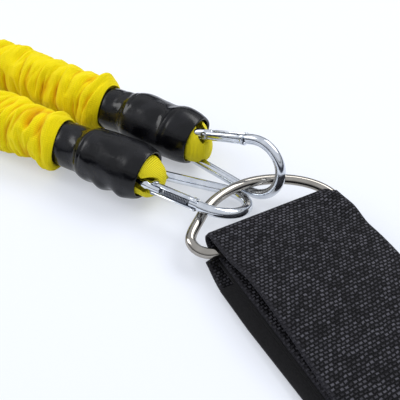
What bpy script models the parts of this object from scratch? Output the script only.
"""Leg resistance band: a webbing ankle cuff, its D-ring, and two sleeved tubes with snap hooks.

The origin is on the underside of the flattened cuff, midway along it. +X runs from the tubes'
free ends towards the cuff, +Y is the left tube's side and +Z is up. The whole band lies on z = 0.
Every size below is in millimetres; MM turns them into Blender's metres.
"""
import math

import bmesh
import bpy
from mathutils import Euler, Matrix, Vector

MM = 0.001
GAP = 0.3                      # clearance between pieces that touch
ROUND_SIDES = 16               # of the turned pieces, which share it so that their gaps are even

# Cuff: one strip of webbing, folded at the ring and at the far end
WEB_WIDTH = 50.0
WEB_THICK = 1.5
CUFF_LENGTH = 160.0
CUFF_TURN = -29.6              # degrees from the tubes' direction to the cuff's
TAIL_LENGTH = 90.0
FOLD_ROOM = 14.0               # stretch of the front fold that holds the ring's bar
CROWN_FROM = 4.0
CROWN_AT = 30.0                # the stiff webbing crowns here before it settles on the tail
CROWN_HEIGHT = 1.6
SETTLE_LENGTH = 52.0
SLOPE_AFTER = 4.0              # past the tail's end the top run slopes down onto the bottom run
SLOPE_LENGTH = 18.0
TAPE_THICK = 0.8
TAPE_GAP = 0.2
LOOP_TAPE_START = 18.0
HOOK_TAPE_START = 8.0
UNDER_SHIFT = -5.2             # sideways offset of the bottom run, which lies askew
TAPE_OVERHANG = 0.6
CORNER_CUT = 1.6               # how far the front fold is gathered in beside the ring's leg
CORNER_LIFT = 1.8              # how far the top run rides up over the ring's rounded corner
CORNER_RUN = 7.0               # width of that rise, from the right edge
CORNER_BEYOND = 12.0           # length over which the gather and the rise fade out past the leg
BAR_ROOM = 0.8                 # slack of the fold above the ring's bar

# D-ring, bent from round wire and welded
RING_WIRE = 4.0
RING_WIDTH = 56.0              # between the centrelines of its legs
RING_REACH = 26.2              # from the bar's centreline to the top of the bow
RING_CORNER = 7.0
RING_FULLNESS = 1.85           # exponent of the bow, 2 is an ellipse
RING_SETBACK = 9.8             # bar behind the front fold
RING_SHIFT = -1.6              # bar to the right of the cuff's middle
RING_YAW = -6.7
RING_TILT = 5.3

# Snap hook, bent from round wire, with a folded sheet gate
HOOK_WIRE = 4.0
EYE_RADIUS = 6.0
BEND_RADIUS = 11.0
HOOK_SPAN = 27.3               # between the centres of the eye and the big bend
PIVOT_ALONG = 5.4              # pivot, measured along the gate side from the eye's tangent point
GATE_LENGTH = 18.4
GATE_WIDTH = 4.6
GATE_HEIGHT = 4.2
GATE_WALL = 0.6
GATE_CHAMFER = 0.8
LUG_THICK = 2.7
LUG_HALF = 2.1
LUG_BEHIND = 2.5               # the wire is flattened from here, behind the pivot
LUG_REACH = 2.8
FORK_SLOT = 3.6
NOSE_OVERLAP = 2.8
NOSE_HALF = 1.6
NOSE_OFFSET = 0.35
FLATTENING = 1.0               # length over which round wire turns flat
RIVET_RADIUS = 0.9
RIVET_HEAD_RADIUS = 1.5
RIVET_HEAD_THICK = 0.5
SPRING_RADIUS = 1.15
SPRING_WIRE = 0.25
SPRING_TURNS = 7
SPRING_OFFSET = 0.2            # keeps the coil off the channel's floor

# Tube: latex core in a gathered woven sleeve, with a vinyl collar at each end
SLEEVE_RADIUS = 12.0
SLEEVE_FOLD_DEPTH = 0.9
SLEEVE_FOLD_PITCH = 20.0
SLEEVE_TUCK = 6.0
SLEEVE_SHOULDER = 2.0          # rounding where the sleeve meets a collar
SLEEVE_LENGTH = 340.0          # visible sleeve between the two collars
LATEX_RADIUS = 6.5
LATEX_BORE = 3.5
COLLAR_LENGTH = 46.0
COLLAR_WALL = 1.2
COLLAR_MOUTH_RADIUS = 10.1
COLLAR_BODY_RADIUS = 11.2
COLLAR_NECK_RADIUS = 9.2
COLLAR_LIP = 0.6               # rounded lip at the mouth
COLLAR_FULL = 16.0             # from the mouth to the body's full radius
COLLAR_STEP = 32.0             # from the mouth to the step down to the neck
COLLAR_STEP_RUN = 2.0
COLLAR_TRIM = {"left": 0.0, "right": 4.0}   # the right tube's collars were cut shorter
MOUTH_SETBACK = 1.8            # mouth of the collar behind the centre of the hook's eye
# The left tube lies behind and beside the eye of its near hook, as the loop lets it
NEAR_MOUTHS = {
    "left": {"setback": 4.4, "beside": 4.0},
    "right": {"setback": MOUTH_SETBACK, "beside": 0.0},
}

# Inside each collar: a plug in the latex bore, held by a ferrule, that carries the woven loop
PLUG_BAR_RADIUS = 1.9
PLUG_BAR_DEPTH = 18.0
PLUG_CHEEK_THICK = 1.8
PLUG_CHEEK_HEIGHT = 6.0
PLUG_FLANGE_RADIUS = 6.4
PLUG_FLANGE_THICK = 2.0
PLUG_STEM_LENGTH = 12.0
PLUG_SIDE_ROOM = 0.5           # each side of the loop, between the cheeks
PLUG_JOIN = 0.5                # overlap of the pieces that the plug is joined from
FERRULE_LENGTH = 8.0
FERRULE_WALL = 0.9
FERRULE_SETBACK = 2.0
LOOP_WIDTH = 5.4
LOOP_THICK = 1.8
LOOP_ROOM = 0.7
LOOP_SLACK = 2.3
LOOP_EDGE = 0.8                # rounded edge of the woven band

# How the two near hooks sit on the ring: bow angle, place on the hook, and its turn, tilt and roll
NEAR_HOOKS = {
    "left": {"bow": 85.3, "along": 26.5, "across": -6.55, "turn": -6.4, "tilt": 7.6, "roll": 78.6},
    "right": {"bow": 123.84, "along": 26.32, "across": 0.41, "turn": 9.1, "tilt": -2.54, "roll": 159.04},
}
TUBE_TURN = {"left": -1.0, "right": 2.5}
FAR_HOOK_TURN = {"left": -4.0, "right": 4.0}
FAR_DEPTH_OF_EYE = 1.0         # far eyes sag below the tube's middle

BLACK = (0.012, 0.012, 0.014)
YELLOW = (0.92, 0.66, 0.010)
PALE_LATEX = (0.80, 0.62, 0.30)
ZINC = (0.70, 0.72, 0.76)
NICKEL = (0.62, 0.58, 0.54)
GREY_PLASTIC = (0.25, 0.25, 0.26)


def clear_scene():
    for obj in list(bpy.data.objects):
        bpy.data.objects.remove(obj, do_unlink=True)


def material(name, colour, roughness, metallic=0.0):
    mat = bpy.data.materials.get(name) or bpy.data.materials.new(name)
    mat.use_nodes = True
    shader = mat.node_tree.nodes["Principled BSDF"]
    shader.inputs["Base Color"].default_value = (*colour, 1.0)
    shader.inputs["Roughness"].default_value = roughness
    shader.inputs["Metallic"].default_value = metallic
    return mat


def place_frame(name, location, rotation, parent=None):
    """An empty that carries pieces; location in millimetres, rotation in degrees."""
    frame = bpy.data.objects.new(name, None)
    bpy.context.collection.objects.link(frame)
    frame.location = Vector(location) * MM
    frame.rotation_euler = Euler([math.radians(angle) for angle in rotation])
    frame.parent = parent
    bpy.context.view_layer.update()
    return frame


def add_piece(name, mesh, mat, parent, smooth=True):
    piece = bpy.data.objects.new(name, mesh)
    bpy.context.collection.objects.link(piece)
    piece.parent = parent
    if not mesh.materials:
        mesh.materials.append(mat)
    if smooth:
        mesh.shade_smooth()
        mesh.set_sharp_from_angle(angle=math.radians(40))
    return piece


def mesh_from(bm, name):
    bmesh.ops.recalc_face_normals(bm, faces=bm.faces)
    bmesh.ops.scale(bm, vec=(MM, MM, MM), verts=bm.verts)
    mesh = bpy.data.meshes.new(name)
    bm.to_mesh(mesh)
    bm.free()
    return mesh


def loft(name, rings, closed=False):
    """Skin a row of rings. A closed row joins its last ring to its first, an open one is capped."""
    bm = bmesh.new()
    loops = [[bm.verts.new(point) for point in ring] for ring in rings]
    pairs = list(zip(loops, loops[1:]))
    if closed:
        pairs.append((loops[-1], loops[0]))
    count = len(loops[0])
    for near, far in pairs:
        for i in range(count):
            j = (i + 1) % count
            bm.faces.new((near[i], near[j], far[j], far[i]))
    if not closed:
        bm.faces.new(loops[0])
        bm.faces.new(loops[-1])
    return mesh_from(bm, name)


def turned(name, profile, sides=ROUND_SIDES):
    """A closed (x, radius) outline turned about the X axis."""
    rings = []
    for x, radius in profile:
        ring = []
        for i in range(sides):
            angle = math.tau * i / sides
            ring.append((x, radius * math.cos(angle), radius * math.sin(angle)))
        rings.append(ring)
    return loft(name, rings, closed=True)


def combine(name, base, others, operation):
    """Join or cut simple meshes with exact Booleans, and return the resulting mesh."""
    target = bpy.data.objects.new(name, base)
    bpy.context.collection.objects.link(target)
    tools = []
    for other in others:
        tool = bpy.data.objects.new(name + "_tool", other)
        bpy.context.collection.objects.link(tool)
        tools.append(tool)
        modifier = target.modifiers.new("combine", "BOOLEAN")
        modifier.operation = operation
        modifier.solver = "EXACT"
        modifier.object = tool
    bpy.context.view_layer.update()
    shape = target.evaluated_get(bpy.context.evaluated_depsgraph_get())
    result = bpy.data.meshes.new_from_object(shape)
    for obj in [target] + tools:
        bpy.data.objects.remove(obj, do_unlink=True)
    return result


def rod(name, radius, length, sides, centre=(0, 0, 0), along="Z"):
    bm = bmesh.new()
    bmesh.ops.create_cone(bm, cap_ends=True, segments=sides, radius1=radius, radius2=radius, depth=length)
    if along == "X":
        bmesh.ops.rotate(bm, verts=bm.verts, matrix=Matrix.Rotation(math.pi / 2, 3, "Y"))
    if along == "Y":
        bmesh.ops.rotate(bm, verts=bm.verts, matrix=Matrix.Rotation(math.pi / 2, 3, "X"))
    bmesh.ops.translate(bm, verts=bm.verts, vec=centre)
    return mesh_from(bm, name)


def block(name, low, high):
    bm = bmesh.new()
    bmesh.ops.create_cube(bm, size=1.0)
    size = Vector(high) - Vector(low)
    bmesh.ops.scale(bm, verts=bm.verts, vec=size)
    bmesh.ops.translate(bm, verts=bm.verts, vec=(Vector(low) + Vector(high)) / 2)
    return mesh_from(bm, name)


def smoothstep(value):
    value = min(1.0, max(0.0, value))
    return value * value * (3.0 - 2.0 * value)


# Heights of the cuff's layers, from the surface up
UNDER_MID = WEB_THICK / 2
LOOP_TAPE_MID = WEB_THICK + TAPE_GAP + TAPE_THICK / 2
HOOK_TAPE_MID = LOOP_TAPE_MID + TAPE_THICK + TAPE_GAP
TAIL_MID = HOOK_TAPE_MID + TAPE_THICK / 2 + TAPE_GAP + WEB_THICK / 2
BAR_HEIGHT = TAIL_MID + WEB_THICK / 2 + GAP + RING_WIRE / 2
ROOF_MID = BAR_HEIGHT + RING_WIRE / 2 + BAR_ROOM + WEB_THICK / 2
TOP_MID = TAIL_MID + WEB_THICK + GAP
LOW_TOP_MID = LOOP_TAPE_MID + TAPE_THICK / 2 + GAP + WEB_THICK / 2
FRONT_BEND = (ROOF_MID - TAIL_MID) / 2
REAR_BEND = (LOW_TOP_MID - UNDER_MID) / 2
REAR_BEND_AT = CUFF_LENGTH - WEB_THICK / 2 - REAR_BEND
FRONT_BEND_AT = WEB_THICK / 2 + FRONT_BEND


def top_run_height(along):
    """Middle of the top run: over the bar, up to its crown, down to the tail and past its end."""
    crown = CROWN_HEIGHT * smoothstep((along - CROWN_FROM) / (CROWN_AT - CROWN_FROM))
    settled = smoothstep((along - CROWN_AT) / SETTLE_LENGTH)
    past_tail = smoothstep((along - TAIL_LENGTH - SLOPE_AFTER) / SLOPE_LENGTH)
    return ROOF_MID + crown + (TOP_MID - ROOF_MID - crown) * settled + (LOW_TOP_MID - TOP_MID) * past_tail


def under_shift(along):
    """Sideways offset of the bottom run, which straightens out towards the far fold."""
    start = 0.6 + 0.4 * smoothstep(along / LOOP_TAPE_START)
    level = 2 * LOOP_TAPE_START
    return UNDER_SHIFT * start * (1.0 - max(0.0, along - level) / (REAR_BEND_AT - level))


def cuff_stations():
    """Rows (along, height, left edge, right edge, corner lift) down the strip, from the tail's end."""
    half = WEB_WIDTH / 2
    rows = []
    for along in (TAIL_LENGTH, TAIL_LENGTH * 0.6, TAIL_LENGTH * 0.3, FOLD_ROOM, FRONT_BEND_AT + 2.0):
        rows.append((along, TAIL_MID, -half, half - (CORNER_CUT if along < FOLD_ROOM else 0.0), 0.0))
    for step in range(9):
        angle = math.pi * step / 8
        along = FRONT_BEND_AT - FRONT_BEND * math.sin(angle)
        height = (ROOF_MID + TAIL_MID) / 2 - FRONT_BEND * math.cos(angle)
        rows.append((along, height, -half, half - CORNER_CUT, 0.0))
    first_top = FRONT_BEND_AT + 1.2
    count = 26
    for step in range(count):
        along = first_top + (REAR_BEND_AT - first_top) * (step / count) ** 1.35
        beyond_leg = smoothstep((along - FOLD_ROOM) / CORNER_BEYOND)
        lift = CORNER_LIFT * (1.0 - beyond_leg)
        rows.append((along, top_run_height(along), -half, half - CORNER_CUT * (1.0 - beyond_leg), lift))
    for step in range(7):
        angle = math.pi * step / 6
        along = REAR_BEND_AT + REAR_BEND * math.sin(angle)
        height = (LOW_TOP_MID + UNDER_MID) / 2 + REAR_BEND * math.cos(angle)
        rows.append((along, height, -half, half, 0.0))
    for along in (REAR_BEND_AT - 20, 115.0, 95.0, 75.0, 55.0, 35.0, LOOP_TAPE_START, 11.0, 4.0):
        shift = under_shift(along)
        rows.append((along, UNDER_MID, -half + shift, half + shift, 0.0))
    return rows


def strip(name, rows, thick, columns):
    """A strip of webbing or tape: rows of cross-sections, each with columns across its width."""
    rings = []
    for index, (along, height, low, high, lift) in enumerate(rows):
        before = rows[max(index - 1, 0)]
        after = rows[min(index + 1, len(rows) - 1)]
        run = Vector((after[0] - before[0], after[1] - before[1])).normalized()
        normal = Vector((-run.y, run.x)) * thick / 2
        upper = []
        lower = []
        for share in columns:
            across = low + (high - low) * share
            raised = height + lift * smoothstep((across - WEB_WIDTH / 2 + CORNER_RUN) / (CORNER_RUN - 2.0))
            upper.append((along + normal.x, across, raised + normal.y))
            lower.append((along - normal.x, across, raised - normal.y))
        rings.append(upper + lower[::-1])
    return loft(name, rings)


def make_cuff(frame, cloth):
    add_piece("cuff_webbing", strip("cuff_webbing", cuff_stations(), WEB_THICK, (0, 0.45, 0.86, 0.93, 1)),
              cloth, frame)
    half = WEB_WIDTH / 2
    loop_rows = []
    for along in (LOOP_TAPE_START, 35.0, 60.0, 85.0, 110.0, REAR_BEND_AT - 6.0):
        shift = under_shift(along)
        middle = shift - TAPE_OVERHANG
        loop_rows.append((along, LOOP_TAPE_MID, middle - half, middle + half, 0.0))
    add_piece("loop_tape", strip("loop_tape", loop_rows, TAPE_THICK, (0, 1)), cloth, frame, smooth=False)
    hook_rows = []
    for along in (HOOK_TAPE_START, TAIL_LENGTH / 2, TAIL_LENGTH - 1.0):
        hook_rows.append((along, HOOK_TAPE_MID, -half - TAPE_OVERHANG, half - TAPE_OVERHANG, 0.0))
    add_piece("hook_tape", strip("hook_tape", hook_rows, TAPE_THICK, (0, 1)), cloth, frame, smooth=False)


def ring_outline():
    """Centreline of the D-ring: the bar lies along local X at y = 0, and the bow rises along +Y."""
    half = RING_WIDTH / 2
    points = []
    for step in range(3):
        points.append((-half + RING_CORNER + (RING_WIDTH - 2 * RING_CORNER) * step / 3, 0.0))
    for step in range(4):
        angle = -math.pi / 2 + math.pi / 2 * step / 4
        points.append((half - RING_CORNER + RING_CORNER * math.cos(angle),
                       RING_CORNER + RING_CORNER * math.sin(angle)))
    bow_steps = 30
    for step in range(bow_steps + 1):
        points.append(bow_point(180.0 * step / bow_steps)[:2])
    for step in range(1, 5):
        angle = math.pi + math.pi / 2 * step / 4
        points.append((-half + RING_CORNER + RING_CORNER * math.cos(angle),
                       RING_CORNER + RING_CORNER * math.sin(angle)))
    return points[:-1]


def bow_point(degrees):
    """Point of the bow at an angle from its right leg."""
    angle = math.radians(degrees)
    power = 2.0 / RING_FULLNESS
    x = math.copysign(abs(math.cos(angle)) ** power, math.cos(angle)) * RING_WIDTH / 2
    y = RING_CORNER + (RING_REACH - RING_CORNER) * abs(math.sin(angle)) ** power
    return Vector((x, y, 0.0))


def wire_rings(points, radius, sides, closed, flats=None):
    """Sections of a wire along a flat path; flats gives (in-plane, across, offset) half sizes."""
    count = len(points)
    rings = []
    for index, point in enumerate(points):
        before = Vector(points[index - 1] if closed or index else points[0])
        after = Vector(points[(index + 1) % count] if closed or index < count - 1 else points[-1])
        run = (after - before).normalized()
        side = Vector((-run.y, run.x))
        in_plane, across, offset = flats[index] if flats else (radius, radius, 0.0)
        ring = []
        for i in range(sides):
            angle = math.tau * (i + 0.5) / sides
            reach = in_plane * math.cos(angle) + offset
            ring.append((point[0] + side.x * reach, point[1] + side.y * reach, across * math.sin(angle)))
        rings.append(ring)
    return rings


def make_ring(cuff_frame, metal):
    bar_middle = (RING_SETBACK, RING_SHIFT, BAR_HEIGHT)
    frame = place_frame("ring_hinge", bar_middle, (RING_TILT, 0, 90 + RING_YAW), cuff_frame)
    rings = wire_rings(ring_outline(), RING_WIRE / 2, 10, closed=True)
    add_piece("d_ring", loft("d_ring", rings, closed=True), metal, frame)
    return frame


# Snap hook, in its own frame: the eye's centre is the origin, +X runs to the big bend, and the
# gate is on the +Y side
SIDE_ANGLE = math.asin((BEND_RADIUS - EYE_RADIUS) / HOOK_SPAN)
SIDE_LENGTH = HOOK_SPAN * math.cos(SIDE_ANGLE)
GATE_RUN = Vector((math.cos(SIDE_ANGLE), math.sin(SIDE_ANGLE), 0))
GATE_START = Vector((-math.sin(SIDE_ANGLE), math.cos(SIDE_ANGLE), 0)) * EYE_RADIUS
PIVOT = GATE_START + GATE_RUN * PIVOT_ALONG


def hook_path():
    """Centreline from the nose, round the big bend, down the spine and round the eye to the lug."""
    points = []
    flats = []
    round_wire = (HOOK_WIRE / 2, HOOK_WIRE / 2, 0.0)
    nose = (NOSE_HALF, LUG_THICK / 2 / math.cos(math.pi / 8), NOSE_OFFSET)
    nose_at = PIVOT_ALONG + GATE_LENGTH - NOSE_OVERLAP
    behind_nose = nose_at + NOSE_OVERLAP + 0.6
    for along, flat in ((nose_at, nose), (nose_at + NOSE_OVERLAP / 2, nose), (behind_nose, nose),
                        (behind_nose + FLATTENING, round_wire)):
        points.append((GATE_START + GATE_RUN * along)[:2])
        flats.append(flat)
    turn = math.pi / 2 + SIDE_ANGLE
    for step in range(15):
        angle = turn - 2 * turn * step / 14
        points.append((HOOK_SPAN + BEND_RADIUS * math.cos(angle), BEND_RADIUS * math.sin(angle)))
        flats.append(round_wire)
    points.append((HOOK_SPAN * 0.5, -(BEND_RADIUS + EYE_RADIUS) / 2 / math.cos(SIDE_ANGLE)))
    flats.append(round_wire)
    sweep = 2 * math.pi - 2 * turn
    for step in range(10):
        angle = -turn - sweep * step / 9
        points.append((EYE_RADIUS * math.cos(angle), EYE_RADIUS * math.sin(angle)))
        flats.append(round_wire)
    lug = (LUG_HALF / math.cos(math.pi / 8), LUG_THICK / 2 / math.cos(math.pi / 8), 0.0)
    lug_start = PIVOT_ALONG - LUG_BEHIND
    for along, flat in ((lug_start - FLATTENING, round_wire), (lug_start, lug), (PIVOT_ALONG + LUG_REACH, lug)):
        points.append((GATE_START + GATE_RUN * along)[:2])
        flats.append(flat)
    return points, flats


def hook_mesh():
    points, flats = hook_path()
    wire = loft("hook_wire", wire_rings(points, HOOK_WIRE / 2, 8, closed=False, flats=flats))
    bore = rod("hook_bore", RIVET_RADIUS + GAP, 3 * LUG_THICK, 10, centre=PIVOT)
    return combine("hook_wire", wire, [bore], "DIFFERENCE")


def gate_mesh():
    """Folded sheet, open along its outer side, with a slot between its forks at the pivot."""
    half = GATE_WIDTH / 2
    floor = -GATE_HEIGHT / 2
    wall = loft("gate", [gate_outline(side) for side in (-half, half)])
    inside = half - GATE_WALL
    tools = [
        block("gate_channel", (FORK_SLOT, floor + GATE_WALL, -inside), (GATE_LENGTH + 1, GATE_HEIGHT, inside)),
        block("gate_slot", (-GATE_HEIGHT, -GATE_HEIGHT, -inside), (FORK_SLOT + 0.01, GATE_HEIGHT, inside)),
        rod("gate_bore", RIVET_RADIUS + GAP, 2 * GATE_WIDTH, 10),
    ]
    return combine("gate", wall, tools, "DIFFERENCE")


def gate_outline(side):
    """Side view of the gate, round about its pivot and chamfered at its free end."""
    half = GATE_HEIGHT / 2
    points = []
    for step in range(7):
        angle = math.pi / 2 + math.pi * step / 6
        points.append((half * math.cos(angle), half * math.sin(angle), side))
    points.append((GATE_LENGTH - GATE_CHAMFER, -half, side))
    points.append((GATE_LENGTH, GATE_CHAMFER - half, side))
    points.append((GATE_LENGTH, half, side))
    return points


def rivet_mesh():
    """Shank with a domed head outside each fork, turned about the hook's own Z."""
    reach = GATE_WIDTH / 2 + GAP
    tip = reach + RIVET_HEAD_THICK
    bm = bmesh.new()
    outline = [(0, -tip), (RIVET_HEAD_RADIUS * 0.6, -tip), (RIVET_HEAD_RADIUS, -reach), (RIVET_RADIUS, -reach),
               (RIVET_RADIUS, reach), (RIVET_HEAD_RADIUS, reach), (RIVET_HEAD_RADIUS * 0.6, tip), (0, tip)]
    verts = [bm.verts.new((radius, 0, height)) for radius, height in outline]
    edges = [bm.edges.new(pair) for pair in zip(verts, verts[1:])]
    bmesh.ops.spin(bm, geom=verts + edges, cent=(0, 0, 0), axis=(0, 0, 1), angle=math.tau, steps=10)
    bmesh.ops.remove_doubles(bm, verts=bm.verts, dist=0.001)
    return mesh_from(bm, "rivet")


def spring_mesh():
    """Coil in the gate's channel, between the lug and the nose."""
    start = LUG_REACH + GAP + SPRING_WIRE
    end = GATE_LENGTH - NOSE_OVERLAP - GAP - SPRING_WIRE
    rings = []
    steps = 8 * SPRING_TURNS
    for step in range(steps + 1):
        angle = math.tau * step / 8
        centre = Vector((start + (end - start) * step / steps, SPRING_RADIUS * math.cos(angle),
                         SPRING_RADIUS * math.sin(angle)))
        outward = Vector((0, math.cos(angle), math.sin(angle)))
        ring = []
        for i in range(4):
            turn = math.tau * i / 4
            wire = outward * math.cos(turn) + Vector((math.sin(turn), 0, 0))
            ring.append(centre + wire * SPRING_WIRE)
        rings.append([(p.x, p.y + SPRING_OFFSET, p.z) for p in ring])
    return loft("spring", rings)


def make_hook(prefix, frame, meshes, metal):
    """One snap hook on its frame, with the gate on its own pivot."""
    add_piece(prefix + "_hook", meshes["hook"], metal, frame)
    pivot = place_frame(prefix + "_gate_pivot", PIVOT, (0, 0, math.degrees(SIDE_ANGLE)), frame)
    add_piece(prefix + "_gate", meshes["gate"], metal, pivot, smooth=False)
    add_piece(prefix + "_gate_rivet", meshes["rivet"], metal, pivot)
    add_piece(prefix + "_gate_spring", meshes["spring"], metal, pivot)


def near_hook_frame(side, ring_frame):
    """Where a near hook hangs on the ring's bow; the hinge lies along the ring's wire."""
    seat = NEAR_HOOKS[side]
    bow = ring_frame.matrix_world @ (bow_point(seat["bow"]) * MM)
    after = ring_frame.matrix_world @ (bow_point(seat["bow"] - 1.0) * MM)
    tangent = (after - bow).normalized()
    hinge = bpy.data.objects.new(side + "_near_hook_hinge", None)
    bpy.context.collection.objects.link(hinge)
    hinge.matrix_world = Matrix.Translation(bow) @ tangent.to_track_quat("X", "Z").to_matrix().to_4x4()
    turn = Euler([math.radians(a) for a in (seat["roll"], -seat["tilt"], seat["turn"])]).to_matrix()
    eye = bow - turn @ Vector((seat["along"], seat["across"], 0)) * MM
    frame = bpy.data.objects.new(side + "_near_hook_frame", None)
    bpy.context.collection.objects.link(frame)
    frame.matrix_world = Matrix.Translation(eye) @ turn.to_4x4()
    bpy.context.view_layer.update()
    return frame


def far_hook_frame(side, mouth, heading):
    """A far hook lies on the table: its eye is in the collar's mouth and its bend touches down."""
    eye = mouth / MM + heading * -MOUTH_SETBACK
    eye.z -= FAR_DEPTH_OF_EYE
    drop = math.degrees(math.asin((eye.z - HOOK_WIRE / 2) / (HOOK_SPAN + BEND_RADIUS)))
    return place_frame(side + "_far_hook_frame", eye, (0, drop, 180 + TUBE_TURN[side] + FAR_HOOK_TURN[side]))


def collar_mesh(trim):
    """Shrunk vinyl collar; depth runs from its mouth at x = 0 towards -X."""
    step = COLLAR_STEP - trim
    length = COLLAR_LENGTH - trim
    body = COLLAR_BODY_RADIUS
    neck = COLLAR_NECK_RADIUS
    outside = [(0, COLLAR_MOUTH_RADIUS - COLLAR_LIP / 2), (COLLAR_LIP, COLLAR_MOUTH_RADIUS),
               (COLLAR_FULL, body),
               (step - COLLAR_STEP_RUN, body), (step, body - COLLAR_LIP),
               (step + COLLAR_STEP_RUN, neck), (length, neck)]
    body_bore = body - COLLAR_WALL
    neck_bore = neck - COLLAR_WALL
    inside = [(0, COLLAR_MOUTH_RADIUS - COLLAR_WALL), (COLLAR_FULL, body_bore),
              (step - COLLAR_WALL, body_bore), (step + COLLAR_STEP_RUN / 2, neck_bore),
              (length, neck_bore)]
    profile = [(-depth, radius) for depth, radius in outside + inside[::-1]]
    return turned("collar", profile)


def plug_mesh():
    """Plastic plug: a stem for the latex bore, a flange, and two cheeks with the loop's cross bar."""
    flange_end = -PLUG_BAR_DEPTH - PLUG_BAR_RADIUS - GAP - LOOP_THICK - LOOP_ROOM
    inner = LOOP_WIDTH / 2 + PLUG_SIDE_ROOM
    outer = inner + PLUG_CHEEK_THICK
    stem = rod("plug", LATEX_BORE - GAP, PLUG_STEM_LENGTH, ROUND_SIDES, along="X",
               centre=(flange_end - PLUG_FLANGE_THICK - PLUG_STEM_LENGTH / 2 + PLUG_JOIN, 0, 0))
    flange = rod("flange", PLUG_FLANGE_RADIUS, PLUG_FLANGE_THICK, ROUND_SIDES, along="X",
                 centre=(flange_end - PLUG_FLANGE_THICK / 2, 0, 0))
    half = PLUG_CHEEK_HEIGHT / 2
    cheeks = [block("cheek", (flange_end - PLUG_JOIN, side - PLUG_CHEEK_THICK / 2, -half),
                    (-PLUG_BAR_DEPTH + half, side + PLUG_CHEEK_THICK / 2, half))
              for side in (-(inner + outer) / 2, (inner + outer) / 2)]
    bar_length = 2 * inner + PLUG_CHEEK_THICK
    bar = rod("bar", PLUG_BAR_RADIUS, bar_length, 10, along="Y", centre=(-PLUG_BAR_DEPTH, 0, 0))
    return combine("plug", stem, [flange] + cheeks + [bar], "UNION")


def latex_end():
    """Depth from the mouth to the end of the latex tube."""
    return PLUG_BAR_DEPTH + PLUG_BAR_RADIUS + GAP + LOOP_THICK + LOOP_ROOM + PLUG_FLANGE_THICK + GAP


def ferrule_mesh():
    start = -latex_end() - FERRULE_SETBACK
    inner = LATEX_RADIUS + GAP
    outer = inner + FERRULE_WALL
    profile = [(start, inner), (start, outer), (start - FERRULE_LENGTH, outer), (start - FERRULE_LENGTH, inner)]
    return turned("ferrule", profile)


def loop_mesh(length):
    """Closed woven loop: round the plug's bar at the origin and round the hook's eye at +X."""
    inner = HOOK_WIRE / 2 + LOOP_ROOM
    outer = inner + LOOP_THICK
    half = LOOP_WIDTH / 2
    section = [(inner, half), (outer - LOOP_EDGE, half), (outer, half - LOOP_EDGE),
               (outer, LOOP_EDGE - half), (outer - LOOP_EDGE, -half), (inner, -half)]
    rings = []
    for centre, start in ((length, -math.pi / 2), (0.0, math.pi / 2)):
        for step in range(9):
            angle = start + math.pi * step / 8
            ring = []
            for radius, width in section:
                ring.append((centre + radius * math.cos(angle), width, radius * math.sin(angle)))
            rings.append(ring)
    return loft("loop", rings, closed=True)


def make_tube_end(prefix, mouth, turn, hook_frame, meshes, stuff):
    """Collar with its plug, ferrule and woven loop. turn is the heading from the tube to its mouth."""
    sideways = hook_frame.matrix_world.to_3x3() @ Vector((0, 1, 0))
    level = Vector((-math.sin(math.radians(turn)), math.cos(math.radians(turn)), 0))
    twist = math.degrees(math.atan2(sideways.z, sideways.dot(level)))
    frame = place_frame(prefix + "_end_frame", mouth / MM, (twist, 0, turn))
    add_piece(prefix + "_collar", meshes["collar"], stuff["vinyl"], frame)
    add_piece(prefix + "_end_plug", meshes["plug"], stuff["plastic"], frame)
    add_piece(prefix + "_ferrule", meshes["ferrule"], stuff["zinc"], frame)
    bar = frame.matrix_world @ (Vector((-PLUG_BAR_DEPTH, 0, 0)) * MM)
    top_of_eye = hook_frame.matrix_world @ (Vector((LOOP_SLACK - EYE_RADIUS, 0, 0)) * MM)
    reach = top_of_eye - bar
    width = (sideways - reach.normalized() * sideways.dot(reach.normalized())).normalized()
    normal = reach.normalized().cross(width)
    loop_frame = bpy.data.objects.new(prefix + "_loop_frame", None)
    bpy.context.collection.objects.link(loop_frame)
    turn = Matrix((reach.normalized(), width, normal)).transposed().to_4x4()
    loop_frame.matrix_world = Matrix.Translation(bar) @ turn
    bpy.context.view_layer.update()
    add_piece(prefix + "_loop", loop_mesh(reach.length / MM), stuff["woven"], loop_frame)


def sleeve_mesh():
    """Gathered sleeve between the collars, tucked into each; x runs from 0 at the near collar to -X."""
    tucked = COLLAR_NECK_RADIUS - COLLAR_WALL - GAP
    bore = LATEX_RADIUS + GAP
    shoulder = SLEEVE_RADIUS - SLEEVE_SHOULDER
    rings = [(SLEEVE_TUCK, tucked), (-GAP, tucked), (-GAP, shoulder), (-SLEEVE_SHOULDER, SLEEVE_RADIUS)]
    folds = round(2 * SLEEVE_LENGTH / SLEEVE_FOLD_PITCH)
    for step in range(1, folds):
        depth = SLEEVE_FOLD_DEPTH if step % 2 else 0.0
        rings.append((-SLEEVE_LENGTH * step / folds, SLEEVE_RADIUS - depth))
    rings += [(SLEEVE_SHOULDER - SLEEVE_LENGTH, SLEEVE_RADIUS), (GAP - SLEEVE_LENGTH, shoulder),
              (GAP - SLEEVE_LENGTH, tucked), (-SLEEVE_LENGTH - SLEEVE_TUCK, tucked)]
    rings += [(-SLEEVE_LENGTH - SLEEVE_TUCK, bore), (SLEEVE_TUCK, bore)]
    return turned("sleeve", rings)


def latex_mesh(trim):
    inset = COLLAR_LENGTH - trim - latex_end()
    ends = (inset, -SLEEVE_LENGTH - inset)
    profile = [(ends[0], LATEX_BORE), (ends[0], LATEX_RADIUS), (ends[1], LATEX_RADIUS), (ends[1], LATEX_BORE)]
    return turned("latex", profile)


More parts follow.
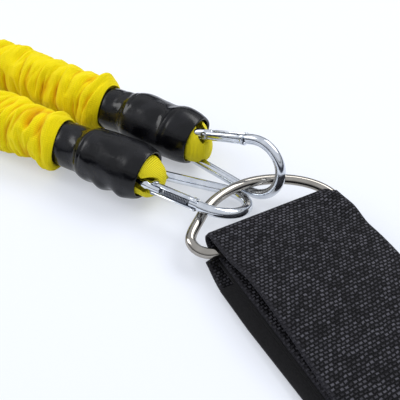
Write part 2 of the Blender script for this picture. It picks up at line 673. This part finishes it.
def build():
    clear_scene()
    stuff = {
        "cloth": material("black_webbing", BLACK, 0.9),
        "nickel": material("nickel_plate", NICKEL, 0.15, 1.0),
        "zinc": material("zinc_plate", ZINC, 0.22, 1.0),
        "woven": material("yellow_weave", YELLOW, 0.85),
        "latex": material("latex", PALE_LATEX, 0.45),
        "vinyl": material("black_vinyl", BLACK, 0.3),
        "plastic": material("grey_plastic", GREY_PLASTIC, 0.5),
    }
    heading = math.radians(CUFF_TURN)
    front = Vector((-math.cos(heading), -math.sin(heading), 0)) * (CUFF_LENGTH / 2)
    cuff_frame = place_frame("cuff_frame", front, (0, 0, CUFF_TURN))
    make_cuff(cuff_frame, stuff["cloth"])
    ring_frame = make_ring(cuff_frame, stuff["nickel"])
    hook_meshes = {"hook": hook_mesh(), "gate": gate_mesh(), "rivet": rivet_mesh(), "spring": spring_mesh()}
    end_meshes = {"plug": plug_mesh(), "ferrule": ferrule_mesh()}
    sleeve = sleeve_mesh()
    for side, trim in COLLAR_TRIM.items():
        end_meshes["collar"] = collar_mesh(trim)
        near = near_hook_frame(side, ring_frame)
        make_hook(side + "_near", near, hook_meshes, stuff["zinc"])
        turn = TUBE_TURN[side]
        heading = Vector((math.cos(math.radians(turn)), math.sin(math.radians(turn)), 0))
        level = Vector((-heading.y, heading.x, 0))
        lie = NEAR_MOUTHS[side]
        mouth = near.matrix_world.translation - (heading * lie["setback"] - level * lie["beside"]) * MM
        mouth.z = SLEEVE_RADIUS * MM
        make_tube_end(side + "_near", mouth, turn, near, end_meshes, stuff)
        start = place_frame(side + "_tube_frame", mouth / MM - heading * (COLLAR_LENGTH - trim), (0, 0, turn))
        add_piece(side + "_sleeve", sleeve, stuff["woven"], start)
        add_piece(side + "_latex", latex_mesh(trim), stuff["latex"], start)
        far_mouth = mouth - heading * (SLEEVE_LENGTH + 2 * (COLLAR_LENGTH - trim)) * MM
        far = far_hook_frame(side, far_mouth, heading)
        make_hook(side + "_far", far, hook_meshes, stuff["zinc"])
        make_tube_end(side + "_far", far_mouth, 180 + turn, far, end_meshes, stuff)


build()
